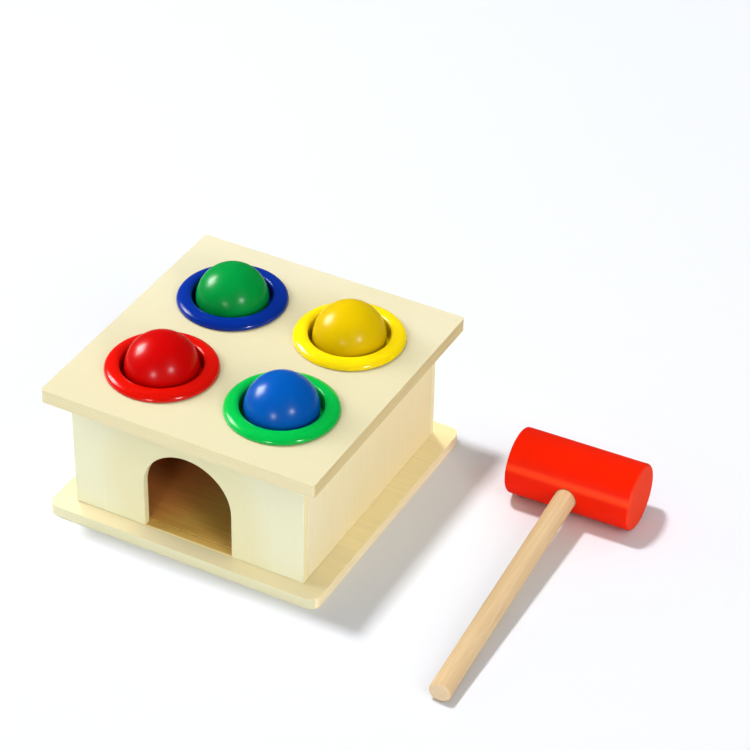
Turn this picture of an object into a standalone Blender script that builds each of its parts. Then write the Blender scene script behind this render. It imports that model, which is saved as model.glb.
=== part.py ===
"""Hammer bench: a plywood box with four soft rings, four wooden balls and a wooden mallet.

Units are metres and +Z is up. The origin is the centre of the base board's underside.
The arched doorway faces -Y, and the mallet lies beside the box at +X on the same floor.
"""
import math

import bmesh
import bpy
from mathutils import Matrix, Vector

MM = 0.001

# Clearances
GLUE_GAP = 0.3 * MM
RING_GAP = 0.3 * MM
SEAT_GAP = 0.3 * MM
HANDLE_GAP = 0.15 * MM
CUT_OVERRUN = 2.0 * MM

# Balls and the soft rings that hold them
BALL_DIAMETER = 30.0 * MM
BALL_STAND = 0.8 * MM
BORE_CLEARANCE = 1.7 * MM
FLANGE_BAND = 6.3 * MM
FLANGE_RISE = 3.3 * MM
CREST_BAND = 2.0 * MM
BORE_ROUND = 1.2 * MM
NECK_WALL = 1.9 * MM
BARB_REACH = 1.0 * MM
BARB_LAND = 0.6 * MM
BARB_HEIGHT = 3.4 * MM
BARB_NOSE = 0.8 * MM
LIP_GRIP = 1.8 * MM
LIP_ROUND = 1.1 * MM

# Spaces between neighbouring rings, and from a ring's barb to the wall beside it
RING_SPACING_X = 8.5 * MM
RING_SPACING_Y = 8.5 * MM
SIDE_WALL_SPACE = 2.15 * MM
END_WALL_SPACE = 4.65 * MM

# Walls of the box and the doorway in the front one
WALL_THICKNESS = 3.5 * MM
WALL_ARRIS = 0.4 * MM
DOOR_CLEARANCE = 5.0 * MM
DOOR_HEADROOM = 10.5 * MM
LINTEL_HEIGHT = 10.5 * MM

# Base board
BASE_MARGIN_X = 9.25 * MM
BASE_MARGIN_Y = 7.25 * MM
BASE_THICKNESS = 5.0 * MM
BASE_CORNER = 4.5 * MM
BASE_ROUND = 2.7 * MM
BASE_ARRIS = 0.5 * MM

# Top board
TOP_OVERHANG_X = 8.75 * MM
TOP_OVERHANG_Y = 7.5 * MM
TOP_THICKNESS = 6.0 * MM
TOP_CORNER = 1.4 * MM
TOP_ROUND = 0.8 * MM
TOP_ARRIS = 0.4 * MM

# Ramp inside the box
RAMP_THICKNESS = 3.0 * MM
RAMP_TOE = 0.5 * MM
RAMP_ARRIS = 0.2 * MM
RAMP_ANGLE = math.radians(8.0)

# Mallet, and where it lies beside the box
HEAD_DIAMETER = 28.0 * MM
HEAD_LENGTH = 54.0 * MM
HEAD_ARRIS = 1.1 * MM
SOCKET_FLOOR = 10.0 * MM
HANDLE_DIAMETER = 9.0 * MM
HANDLE_REACH = 131.0 * MM
HANDLE_ROUND = 0.9 * MM
HANDLE_TIP_ROUND = 0.5 * MM
MALLET_SPACE = 33.75 * MM
MALLET_Y = 47.0 * MM
MALLET_TURN = math.radians(1.8)

# Counts of straight sides
CORNER_STEPS = 5
ROUND_STEPS = 3
ARRIS_STEPS = 1
ARCH_STEPS = 28
HOLE_STEPS = 48
RING_STEPS = 40
FLANGE_STEPS = 6
BORE_STEPS = 4
LIP_STEPS = 4
BALL_MERIDIANS = 32
BALL_PARALLELS = 14
HEAD_STEPS = 48
HANDLE_STEPS = 24

SMOOTH_ANGLE = math.radians(35.0)

# Ball and rings
BALL_RADIUS = BALL_DIAMETER / 2
BORE_RADIUS = BALL_RADIUS + BORE_CLEARANCE
FLANGE_RADIUS = BORE_RADIUS + FLANGE_BAND
NECK_RADIUS = BORE_RADIUS + NECK_WALL
BARB_RADIUS = NECK_RADIUS + BARB_REACH
LIP_RADIUS = BALL_RADIUS - LIP_GRIP
HOLE_RADIUS = NECK_RADIUS + RING_GAP
HOLE_PITCH_X = 2 * FLANGE_RADIUS + RING_SPACING_X
HOLE_PITCH_Y = 2 * FLANGE_RADIUS + RING_SPACING_Y

# Box
INNER_WIDTH = HOLE_PITCH_X + 2 * (BARB_RADIUS + SIDE_WALL_SPACE)
INNER_DEPTH = HOLE_PITCH_Y + 2 * (BARB_RADIUS + END_WALL_SPACE)
BOX_WIDTH = INNER_WIDTH + 2 * WALL_THICKNESS
BOX_DEPTH = INNER_DEPTH + 2 * WALL_THICKNESS
ARCH_WIDTH = BALL_DIAMETER + 2 * DOOR_CLEARANCE
ARCH_HEIGHT = BALL_DIAMETER + DOOR_HEADROOM
WALL_HEIGHT = ARCH_HEIGHT + LINTEL_HEIGHT
BASE_WIDTH = BOX_WIDTH + 2 * BASE_MARGIN_X
BASE_DEPTH = BOX_DEPTH + 2 * BASE_MARGIN_Y
TOP_WIDTH = BOX_WIDTH + 2 * TOP_OVERHANG_X
TOP_DEPTH = BOX_DEPTH + 2 * TOP_OVERHANG_Y
WALL_FOOT = BASE_THICKNESS + GLUE_GAP
TOP_UNDERSIDE = WALL_FOOT + WALL_HEIGHT + GLUE_GAP
TOP_SURFACE = TOP_UNDERSIDE + TOP_THICKNESS

# Mallet
HEAD_RADIUS = HEAD_DIAMETER / 2
HANDLE_RADIUS = HANDLE_DIAMETER / 2
MALLET_X = (BASE_WIDTH + HEAD_LENGTH) / 2 + MALLET_SPACE

# Colours as linear red, green and blue, with roughness
RAW_PLYWOOD = ((0.83, 0.74, 0.50), 0.62)
RAMP_PLYWOOD = ((0.55, 0.38, 0.19), 0.70)
RAW_DOWEL = ((0.72, 0.49, 0.26), 0.60)
RED_PAINT = ((0.78, 0.02, 0.01), 0.22)
MALLET_RED = ((0.86, 0.03, 0.01), 0.45)
BLUE_PAINT = ((0.01, 0.12, 0.55), 0.22)
GREEN_PAINT = ((0.01, 0.30, 0.06), 0.22)
YELLOW_PAINT = ((0.80, 0.45, 0.01), 0.22)
RED_VINYL = ((0.72, 0.01, 0.01), 0.30)
BLUE_VINYL = ((0.01, 0.04, 0.35), 0.30)
GREEN_VINYL = ((0.01, 0.50, 0.10), 0.30)
YELLOW_VINYL = ((0.90, 0.72, 0.02), 0.30)

# Side of the box, row, ring and ball at each hole
STATIONS = (
    ("ring_red", RED_VINYL, "ball_red", RED_PAINT, -1, -1),
    ("ring_green", GREEN_VINYL, "ball_blue", BLUE_PAINT, 1, -1),
    ("ring_blue", BLUE_VINYL, "ball_green", GREEN_PAINT, -1, 1),
    ("ring_yellow", YELLOW_VINYL, "ball_yellow", YELLOW_PAINT, 1, 1),
)


def clear_scene():
    """Removes every object, so that the script can run again in the same file."""
    for item in list(bpy.data.objects):
        bpy.data.objects.remove(item, do_unlink=True)


def make_material(name, finish):
    """Returns a material with the finish's colour and roughness."""
    colour, roughness = finish
    material = bpy.data.materials.new(name)
    material.use_nodes = True
    shader = material.node_tree.nodes["Principled BSDF"]
    shader.inputs["Base Color"].default_value = (*colour, 1.0)
    shader.inputs["Roughness"].default_value = roughness
    shader.inputs["Metallic"].default_value = 0.0
    material.diffuse_color = (*colour, 1.0)
    return material


def add_object(name, bm, finish=None, location=(0, 0, 0), smooth=False):
    """Turns a finished bmesh into a named object, with a material where it has a finish."""
    bmesh.ops.recalc_face_normals(bm, faces=bm.faces)
    mesh = bpy.data.meshes.new(name)
    bm.to_mesh(mesh)
    bm.free()
    if smooth:
        mesh.shade_smooth()
        mesh.set_sharp_from_angle(angle=SMOOTH_ANGLE)
    item = bpy.data.objects.new(name, mesh)
    item.location = location
    bpy.context.scene.collection.objects.link(item)
    if finish is not None:
        mesh.materials.append(make_material(name + "_finish", finish))
    return item


def add_empty(name, location, parent=None):
    """Adds an empty on the line that a body moves along."""
    empty = bpy.data.objects.new(name, None)
    empty.empty_display_size = BALL_RADIUS
    empty.location = location
    empty.parent = parent
    bpy.context.scene.collection.objects.link(empty)
    return empty


def cut(item, cutter):
    """Cuts one object by another, which is left as a wire guide."""
    cutter.hide_render = True
    cutter.display_type = "WIRE"
    modifier = item.modifiers.new("cut_" + cutter.name, "BOOLEAN")
    modifier.operation = "DIFFERENCE"
    modifier.solver = "EXACT"
    modifier.object = cutter


def extrude_outline(points, direction):
    """Returns a closed bmesh whose flat outline is drawn out along the direction."""
    bm = bmesh.new()
    corners = [bm.verts.new(point) for point in points]
    face = bm.faces.new(corners)
    grown = bmesh.ops.extrude_face_region(bm, geom=[face])
    moved = [part for part in grown["geom"] if isinstance(part, bmesh.types.BMVert)]
    bmesh.ops.translate(bm, verts=moved, vec=direction)
    return bm


def soften(bm, edges, size, steps):
    """Rounds the given edges."""
    bmesh.ops.bevel(
        bm, geom=edges, offset=size, segments=steps, profile=0.5, affect="EDGES",
        clamp_overlap=True, material=-1,
    )


def sharp_edges(bm):
    """Returns the edges whose two faces meet at a clear angle."""
    return [edge for edge in bm.edges if edge.calc_face_angle(0.0) > SMOOTH_ANGLE]


def level_edges(bm, height):
    """Returns the edges that lie in the level plane at the height."""
    near = GLUE_GAP / 2
    return [
        edge for edge in bm.edges
        if all(abs(vertex.co.z - height) < near for vertex in edge.verts)
    ]


def board_mesh(width, depth, thickness, corner, top_round, bottom_arris):
    """Returns a board whose corners are rounded in plan and whose edges are softened."""
    bm = bmesh.new()
    corners = [
        bm.verts.new((side * width / 2, row * depth / 2, 0))
        for side, row in ((-1, -1), (-1, 1), (1, 1), (1, -1))
    ]
    bm.faces.new(corners)
    bmesh.ops.bevel(
        bm, geom=corners, offset=corner, segments=CORNER_STEPS, profile=0.5,
        affect="VERTICES", material=-1,
    )
    grown = bmesh.ops.extrude_face_region(bm, geom=bm.faces[:])
    moved = [part for part in grown["geom"] if isinstance(part, bmesh.types.BMVert)]
    bmesh.ops.translate(bm, verts=moved, vec=(0, 0, thickness))
    bmesh.ops.recalc_face_normals(bm, faces=bm.faces)
    soften(bm, level_edges(bm, thickness), top_round, ROUND_STEPS)
    soften(bm, level_edges(bm, 0), bottom_arris, ARRIS_STEPS)
    return bm


def make_base_board():
    """The floor board, wider than the walls all round, with a rounded upper edge."""
    bm = board_mesh(BASE_WIDTH, BASE_DEPTH, BASE_THICKNESS, BASE_CORNER, BASE_ROUND, BASE_ARRIS)
    add_object("base_board", bm, RAW_PLYWOOD, smooth=True)


def hole_centre(side, row):
    """Returns where one of the four holes stands, on the top board's upper face."""
    return Vector((side * HOLE_PITCH_X / 2, row * HOLE_PITCH_Y / 2, TOP_SURFACE))


def make_top_board():
    """The board that carries the four rings in round holes."""
    bm = board_mesh(TOP_WIDTH, TOP_DEPTH, TOP_THICKNESS, TOP_CORNER, TOP_ROUND, TOP_ARRIS)
    board = add_object("top_board", bm, RAW_PLYWOOD, location=(0, 0, TOP_UNDERSIDE), smooth=True)
    for ring_name, _, _, _, side, row in STATIONS:
        drill = bmesh.new()
        bmesh.ops.create_cone(
            drill, cap_ends=True, segments=HOLE_STEPS, radius1=HOLE_RADIUS, radius2=HOLE_RADIUS,
            depth=TOP_THICKNESS + 2 * CUT_OVERRUN,
        )
        centre = hole_centre(side, row)
        centre.z -= TOP_THICKNESS / 2
        cut(board, add_object("hole_for_" + ring_name, drill, location=centre))


def make_plain_wall(name, length, centre, along_y):
    """A rectangular wall standing on the base board."""
    half = length / 2
    outline = [(-half, 0, 0), (half, 0, 0), (half, 0, WALL_HEIGHT), (-half, 0, WALL_HEIGHT)]
    bm = extrude_outline(outline, (0, WALL_THICKNESS, 0))
    bmesh.ops.translate(bm, verts=bm.verts, vec=(0, -WALL_THICKNESS / 2, 0))
    if along_y:
        bmesh.ops.rotate(bm, verts=bm.verts, matrix=Matrix.Rotation(math.pi / 2, 3, "Z"))
    soften(bm, sharp_edges(bm), WALL_ARRIS, ARRIS_STEPS)
    add_object(name, bm, RAW_PLYWOOD, location=(*centre, WALL_FOOT))


def arch_outline():
    """Returns the front wall's outline, which runs up one jamb, over the arch and down the other."""
    half = BOX_WIDTH / 2
    radius = ARCH_WIDTH / 2
    spring = ARCH_HEIGHT - radius
    points = [(half, 0, 0), (half, 0, WALL_HEIGHT), (-half, 0, WALL_HEIGHT), (-half, 0, 0), (-radius, 0, 0)]
    for step in range(ARCH_STEPS + 1):
        turn = math.pi * (1 - step / ARCH_STEPS)
        points.append((radius * math.cos(turn), 0, spring + radius * math.sin(turn)))
    points.append((radius, 0, 0))
    return points


def make_front_wall():
    """The wall with the arched doorway that the balls roll out of."""
    bm = extrude_outline(arch_outline(), (0, WALL_THICKNESS, 0))
    soften(bm, sharp_edges(bm), WALL_ARRIS, ARRIS_STEPS)
    add_object("front_wall", bm, RAW_PLYWOOD, location=(0, -BOX_DEPTH / 2, WALL_FOOT), smooth=True)


def make_walls():
    """Front and rear walls run the full width and cover the ends of the side walls."""
    make_front_wall()
    rear = (BOX_DEPTH - WALL_THICKNESS) / 2
    make_plain_wall("rear_wall", BOX_WIDTH, (0, rear), False)
    side_length = INNER_DEPTH - 2 * GLUE_GAP
    for name, side in (("left_wall", -1), ("right_wall", 1)):
        across = side * (BOX_WIDTH - WALL_THICKNESS) / 2
        make_plain_wall(name, side_length, (across, 0), True)


def make_ramp():
    """The sloping floor: it stands on the base board behind the doorway and rises to the rear."""
    front = -INNER_DEPTH / 2 + GLUE_GAP
    run = INNER_DEPTH - 2 * GLUE_GAP
    slope = math.tan(RAMP_ANGLE)
    upright = RAMP_THICKNESS / math.cos(RAMP_ANGLE)
    rear_top = RAMP_TOE + run * slope
    heel = (upright - RAMP_TOE) / slope
    left = -INNER_WIDTH / 2 + GLUE_GAP
    outline = [
        (left, front, 0),
        (left, front + heel, 0),
        (left, front + run, rear_top - upright),
        (left, front + run, rear_top),
        (left, front, RAMP_TOE),
    ]
    bm = extrude_outline(outline, (INNER_WIDTH - 2 * GLUE_GAP, 0, 0))
    soften(bm, sharp_edges(bm), RAMP_ARRIS, ARRIS_STEPS)
    add_object("ramp_board", bm, RAMP_PLYWOOD, location=(0, 0, WALL_FOOT))


def ring_profile():
    """Returns the ring's section as radius and height, from the crest down its outer side.

    Heights are measured from the top board's upper face. The flange slopes out from a crest
    near the bore, whose edge is rounded more tightly. The neck fills the hole, the barb snaps
    under the board and the round lip carries the ball.
    """
    crest = BORE_RADIUS + CREST_BAND
    outer_band = FLANGE_BAND - CREST_BAND
    rise = FLANGE_RISE - RING_GAP
    bore_top = FLANGE_RISE - BORE_ROUND
    outer = [
        (crest + outer_band * math.sin(turn), RING_GAP + rise * math.cos(turn))
        for turn in (math.pi / 2 * step / FLANGE_STEPS for step in range(FLANGE_STEPS + 1))
    ]
    barb_top = -TOP_THICKNESS - RING_GAP
    barb_bottom = barb_top - BARB_HEIGHT
    reach = BALL_RADIUS + LIP_ROUND + SEAT_GAP
    lip_middle = LIP_RADIUS + LIP_ROUND
    lip_height = BALL_STAND - math.sqrt(reach ** 2 - lip_middle ** 2)
    neck = [
        (NECK_RADIUS, RING_GAP),
        (NECK_RADIUS, barb_top),
        (BARB_RADIUS, barb_top),
        (BARB_RADIUS, barb_top - BARB_LAND),
        (NECK_RADIUS - BARB_NOSE, barb_bottom),
    ]
    lip = [
        (lip_middle - LIP_ROUND * math.sin(turn), lip_height - LIP_ROUND * math.cos(turn))
        for turn in (math.pi * step / LIP_STEPS for step in range(LIP_STEPS + 1))
    ]
    bore = [(BORE_RADIUS, lip_height + LIP_ROUND + NECK_WALL)]
    inner = [
        (crest - CREST_BAND * math.cos(turn), bore_top + BORE_ROUND * math.sin(turn))
        for turn in (math.pi / 2 * step / BORE_STEPS for step in range(BORE_STEPS))
    ]
    return outer + neck + lip + bore + inner


def ring_mesh():
    """Returns one ring, its section turned once about the hole's axis."""
    bm = bmesh.new()
    section = [bm.verts.new((radius, 0, height)) for radius, height in ring_profile()]
    loop = [bm.edges.new((section[index - 1], vertex)) for index, vertex in enumerate(section)]
    bmesh.ops.spin(
        bm, geom=section + loop, cent=(0, 0, 0), axis=(0, 0, 1), angle=2 * math.pi,
        steps=RING_STEPS, use_merge=True,
    )
    return bm


def ball_mesh():
    """Returns a ball about its own centre."""
    bm = bmesh.new()
    bmesh.ops.create_uvsphere(
        bm, u_segments=BALL_MERIDIANS, v_segments=BALL_PARALLELS, radius=BALL_RADIUS,
    )
    return bm


def make_stations():
    """Sets a ring in each hole and a ball in each ring."""
    for ring_name, ring_finish, ball_name, ball_finish, side, row in STATIONS:
        centre = hole_centre(side, row)
        add_object(ring_name, ring_mesh(), ring_finish, location=centre, smooth=True)
        seat = add_empty(ball_name + "_drop_line", centre)
        ball = add_object(ball_name, ball_mesh(), ball_finish, location=(0, 0, BALL_STAND), smooth=True)
        ball.parent = seat


def rounded_rod(radius, length, steps, start_round, end_round):
    """Returns a rod along +X from the origin, with its two ends rounded."""
    bm = bmesh.new()
    bmesh.ops.create_cone(bm, cap_ends=True, segments=steps, radius1=radius, radius2=radius, depth=length)
    bmesh.ops.translate(bm, verts=bm.verts, vec=(0, 0, length / 2))
    soften(bm, level_edges(bm, length), end_round, ROUND_STEPS)
    soften(bm, level_edges(bm, 0), start_round, ROUND_STEPS)
    bmesh.ops.rotate(bm, verts=bm.verts, matrix=Matrix.Rotation(math.pi / 2, 3, "Y"))
    return bm


def handle_droop():
    """Returns how far the handle tips down, so that its butt touches the floor."""
    drop = HEAD_RADIUS - HANDLE_RADIUS
    return math.asin(drop / HANDLE_REACH)


def make_mallet():
    """The mallet lies on its head's side, with the butt of the handle on the floor."""
    grip = add_empty("mallet_lift_line", (MALLET_X, MALLET_Y, HEAD_RADIUS))
    head_mesh = rounded_rod(HEAD_RADIUS, HEAD_LENGTH, HEAD_STEPS, HEAD_ARRIS, HEAD_ARRIS)
    bmesh.ops.translate(head_mesh, verts=head_mesh.verts, vec=(-HEAD_LENGTH / 2, 0, 0))
    head = add_object("hammer_head", head_mesh, MALLET_RED, smooth=True)
    head.parent = grip
    aim = Matrix.Rotation(MALLET_TURN - math.pi / 2, 4, "Z") @ Matrix.Rotation(handle_droop(), 4, "Y")
    head.rotation_euler = (0, 0, MALLET_TURN)
    socket_end = SOCKET_FLOOR - HEAD_RADIUS
    drill_length = HEAD_DIAMETER - SOCKET_FLOOR + CUT_OVERRUN
    drill_radius = HANDLE_RADIUS + HANDLE_GAP
    drill_mesh = bmesh.new()
    bmesh.ops.create_cone(
        drill_mesh, cap_ends=True, segments=HANDLE_STEPS, radius1=drill_radius, radius2=drill_radius,
        depth=drill_length,
    )
    bmesh.ops.translate(drill_mesh, verts=drill_mesh.verts, vec=(0, 0, drill_length / 2))
    bmesh.ops.rotate(drill_mesh, verts=drill_mesh.verts, matrix=Matrix.Rotation(math.pi / 2, 3, "Y"))
    bmesh.ops.translate(drill_mesh, verts=drill_mesh.verts, vec=(socket_end, 0, 0))
    drill = add_object("handle_socket", drill_mesh)
    drill.parent = grip
    drill.rotation_euler = aim.to_euler()
    cut(head, drill)
    start = socket_end + HANDLE_GAP
    handle_mesh = rounded_rod(
        HANDLE_RADIUS, HANDLE_REACH - start, HANDLE_STEPS, HANDLE_TIP_ROUND, HANDLE_ROUND,
    )
    bmesh.ops.translate(handle_mesh, verts=handle_mesh.verts, vec=(start, 0, 0))
    handle = add_object("hammer_handle", handle_mesh, RAW_DOWEL, smooth=True)
    handle.parent = grip
    handle.rotation_euler = aim.to_euler()


def main():
    """Builds the box from the floor up, then the rings, balls and mallet."""
    clear_scene()
    make_base_board()
    make_walls()
    make_ramp()
    make_top_board()
    make_stations()
    make_mallet()


main()
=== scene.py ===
"""Looks of the hammer bench: plywood box, soft rings, painted balls and a wooden mallet.

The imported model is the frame. Every piece stands where its node stands, in metres, with +Z up.
"""

import logging
import math
from dataclasses import dataclass
from enum import Enum
from typing import Any, Sequence

import bmesh
import bpy
from mathutils import Matrix, Vector, noise


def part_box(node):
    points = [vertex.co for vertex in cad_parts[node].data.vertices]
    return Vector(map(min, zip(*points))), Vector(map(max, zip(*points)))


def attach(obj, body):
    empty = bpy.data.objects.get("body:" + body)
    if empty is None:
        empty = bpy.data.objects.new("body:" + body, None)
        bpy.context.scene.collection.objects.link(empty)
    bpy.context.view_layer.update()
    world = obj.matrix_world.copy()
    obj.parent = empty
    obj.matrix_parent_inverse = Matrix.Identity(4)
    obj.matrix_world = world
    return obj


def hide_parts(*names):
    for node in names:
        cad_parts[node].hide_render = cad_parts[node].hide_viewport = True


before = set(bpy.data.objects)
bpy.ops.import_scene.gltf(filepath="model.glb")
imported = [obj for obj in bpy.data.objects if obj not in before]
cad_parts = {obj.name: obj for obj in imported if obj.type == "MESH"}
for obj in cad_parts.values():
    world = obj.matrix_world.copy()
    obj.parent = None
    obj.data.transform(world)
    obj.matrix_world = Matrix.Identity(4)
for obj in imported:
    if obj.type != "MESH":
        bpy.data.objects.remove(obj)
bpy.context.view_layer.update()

LOG = logging.getLogger("hammer_bench")

MM = 0.001
# Margin when places are compared, and the space that keeps a face off the one under it.
SEAM = 0.03 * MM
# Vertices closer than this are one.
SAME_PLACE = 0.001 * MM
# How far a wall reaches into the 0.3 mm that the solids leave for the glue.
GLUE_REACH = 0.27 * MM
# Edges whose faces meet at a greater angle are rounded.
FLAT_ANGLE = math.radians(32.0)
# Edges whose faces meet at a greater angle stay sharp in the shading.
SHARP_ANGLE = math.radians(48.0)
# Height at which a noise is folded, so that it rises and falls as bands.
HALF_WAVE = 0.5
# Layers of smaller spots in a noise.
PLAIN, FINE, FINEST = 1.0, 2.0, 3.0
# Shape of a bevel that is an arc.
ROUND = 0.5
# How much a large face counts over a small one in the shading along its edges.
FACE_WEIGHT = 90
# Material number of a board's edging, which comes after its two other finishes.
EDGING = 2
# Corners of a face that no cut has changed.
QUAD = 4
# Inputs of the nodes for a noise, for a mix of two colours and for a change of range.
NOISE_INPUTS = ("Vector", "Scale", "Detail", "Roughness", "Distortion")
MIX_INPUTS = (0, 6, 7)
RANGE_INPUTS = ("Value", "From Min", "From Max", "To Min", "To Max")

Pair = tuple[float, float]
Triple = tuple[float, float, float]
Profile = list[Pair]
Socket = bpy.types.NodeSocket
Material = bpy.types.Material
Item = bpy.types.Object
Mesh = bmesh.types.BMesh
Edges = list[bmesh.types.BMEdge]


class Axis(Enum):
    """A direction along which a board's grain runs or its plies are stacked."""

    X = 0
    Y = 1
    Z = 2

    def spread(self, along: float, across: float) -> Triple:
        """Returns three numbers: one for this direction and the other for the two across it."""
        return tuple(along if axis is self else across for axis in Axis)


def linear(code: str) -> tuple[float, float, float, float]:
    """Turns an sRGB hex colour to linear red, green, blue and a full alpha.

    Args:
        code: Six hex digits after a hash sign.

    Returns:
        The four linear channels.
    """
    channels = [int(code[place:place + 2], 16) / 255 for place in (1, 3, 5)]
    turned = [
        value / 12.92 if value <= 0.04045 else ((value + 0.055) / 1.055) ** 2.4
        for value in channels
    ]
    return (*turned, 1.0)


def add_node(
    tree: bpy.types.NodeTree, kind: str, sockets: dict[Any, Any], **settings: Any
) -> bpy.types.Node:
    """Adds a shader node, with its settings, its socket values and its links.

    Args:
        tree: Node tree that takes the node.
        kind: Blender's identifier of the node.
        sockets: Input name or number, with the number, colour or output socket that goes there.
        **settings: The node's own properties.

    Returns:
        The new node.
    """
    node = tree.nodes.new(kind)
    for key, value in settings.items():
        setattr(node, key, value)
    for key, value in sockets.items():
        if isinstance(value, Socket):
            tree.links.new(value, node.inputs[key])
        else:
            node.inputs[key].default_value = value
    return node


class Shading:
    """The nodes of one material, with a short method for each kind that the finishes use."""

    def __init__(self, name: str) -> None:
        """Starts a material.

        Args:
            name: Its name.
        """
        self.material = bpy.data.materials.new(name)
        self.material.use_nodes = True
        self.tree = self.material.node_tree
        self.shader = self.tree.nodes["Principled BSDF"]

    def place(self) -> Socket:
        """Returns the place on the piece, in the part's coordinates."""
        return add_node(self.tree, "ShaderNodeTexCoord", {}).outputs["Object"]

    def mapping(
        self, place: Socket, shift: Triple = (0, 0, 0), turn: Any = (0, 0, 0),
        scale: Triple = (1, 1, 1),
    ) -> Socket:
        """Returns a place scaled, turned and shifted."""
        values = {"Vector": place, "Location": shift, "Rotation": turn, "Scale": scale}
        return add_node(self.tree, "ShaderNodeMapping", values).outputs[0]

    def own_place(self, turned: Matrix) -> Socket:
        """Returns the place in the coordinates that a matrix turns to."""
        return self.mapping(self.place(), turned.translation[:], turned.to_euler())

    def split(self, place: Socket) -> Sequence[Socket]:
        """Returns the three coordinates of a place."""
        return add_node(self.tree, "ShaderNodeSeparateXYZ", {0: place}).outputs

    def spots(
        self, place: Socket, size: float, detail: float, roughness: float = 0.5, stir: float = 0.0
    ) -> Socket:
        """Returns noise from 0 to 1: spots of a size, with layers of smaller ones over them."""
        values = dict(zip(NOISE_INPUTS, (place, 1 / size, detail, roughness, stir)))
        return add_node(self.tree, "ShaderNodeTexNoise", values).outputs["Fac"]

    def grain(
        self, place: Socket, axis: Axis, size: Pair, detail: float, *texture: float
    ) -> Socket:
        """Returns noise in streaks of one length and width along an axis, as wood grain is."""
        drawn = self.mapping(place, scale=axis.spread(1 / size[0], 1 / size[1]))
        return self.spots(drawn, 1.0, detail, *texture)

    def maths(self, operation: str, *values: Any) -> Socket:
        """Returns the result of a calculation with numbers or sockets."""
        terms = dict(enumerate(values))
        return add_node(self.tree, "ShaderNodeMath", terms, operation=operation).outputs[0]

    def vector_maths(self, operation: str, *values: Any) -> bpy.types.Node:
        """Returns the node of a calculation with places."""
        terms = dict(enumerate(values))
        return add_node(self.tree, "ShaderNodeVectorMath", terms, operation=operation)

    def figured(self, figure: Socket, lines: float, share: float, fibres: Socket) -> Socket:
        """Lays the figure of the wood over its fibres, as bands that rise and fall.

        Args:
            figure: Slow noise along the grain.
            lines: How many bands it makes.
            share: How strong they are.
            fibres: Pattern of the fibres.

        Returns:
            Bands and fibres together.
        """
        bands = self.maths("PINGPONG", self.maths("MULTIPLY", figure, lines), HALF_WAVE)
        return self.maths("MULTIPLY_ADD", bands, share, fibres)

    def blend(self, share: Socket, first: Socket | str, second: Socket | str) -> Socket:
        """Mixes two colours.

        Args:
            share: How much of the second one shows.
            first: A socket or a hex colour.
            second: A socket or a hex colour.

        Returns:
            The mixed colour.
        """
        ends = [linear(end) if isinstance(end, str) else end for end in (first, second)]
        values = dict(zip(MIX_INPUTS, (share, *ends)))
        return add_node(self.tree, "ShaderNodeMix", values, data_type="RGBA").outputs[2]

    def carried(
        self, value: Socket, source: Pair = (0.0, 1.0), target: Pair = (0.0, 1.0), **settings: Any
    ) -> Socket:
        """Returns a value carried over from one range to another."""
        values = dict(zip(RANGE_INPUTS, (value, *source, *target)))
        return add_node(self.tree, "ShaderNodeMapRange", values, **settings).outputs[0]

    def ramp(self, value: Socket, stops: Sequence[Pair]) -> Socket:
        """Returns the shade that a ramp of greys has for a value.

        Args:
            value: The value.
            stops: Place and shade of each stop, in rising order.

        Returns:
            The shade.
        """
        node = add_node(self.tree, "ShaderNodeValToRGB", {0: value})
        elements = node.color_ramp.elements
        while len(elements) < len(stops):
            elements.new(1.0)
        while len(elements) > len(stops):
            elements.remove(elements[-1])
        for element, (place, shade) in zip(elements, stops):
            element.position = place
            element.color = (shade, shade, shade, 1.0)
        return node.outputs[0]

    def finish(
        self, colour: Socket, roughness: Socket, height: Socket, relief: Pair, gloss: float
    ) -> Material:
        """Joins the patterns to the surface shader.

        Args:
            colour: Colour of the surface.
            roughness: Its roughness.
            height: Pattern of its fine relief.
            relief: Strength and depth of the relief.
            gloss: Its specular level.

        Returns:
            The finished material.
        """
        values = {"Height": height, "Strength": relief[0], "Distance": relief[1]}
        bump = add_node(self.tree, "ShaderNodeBump", values).outputs[0]
        for name, socket in (("Base Color", colour), ("Roughness", roughness), ("Normal", bump)):
            self.tree.links.new(socket, self.shader.inputs[name])
        self.shader.inputs["Specular IOR Level"].default_value = gloss
        return self.material


@dataclass(frozen=True)
class Veneer:
    """Colours of one board: its outer plies, its cross plies and the glue between them."""

    face: str
    tinge: str
    streak: str
    core: str
    glue: str


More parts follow.
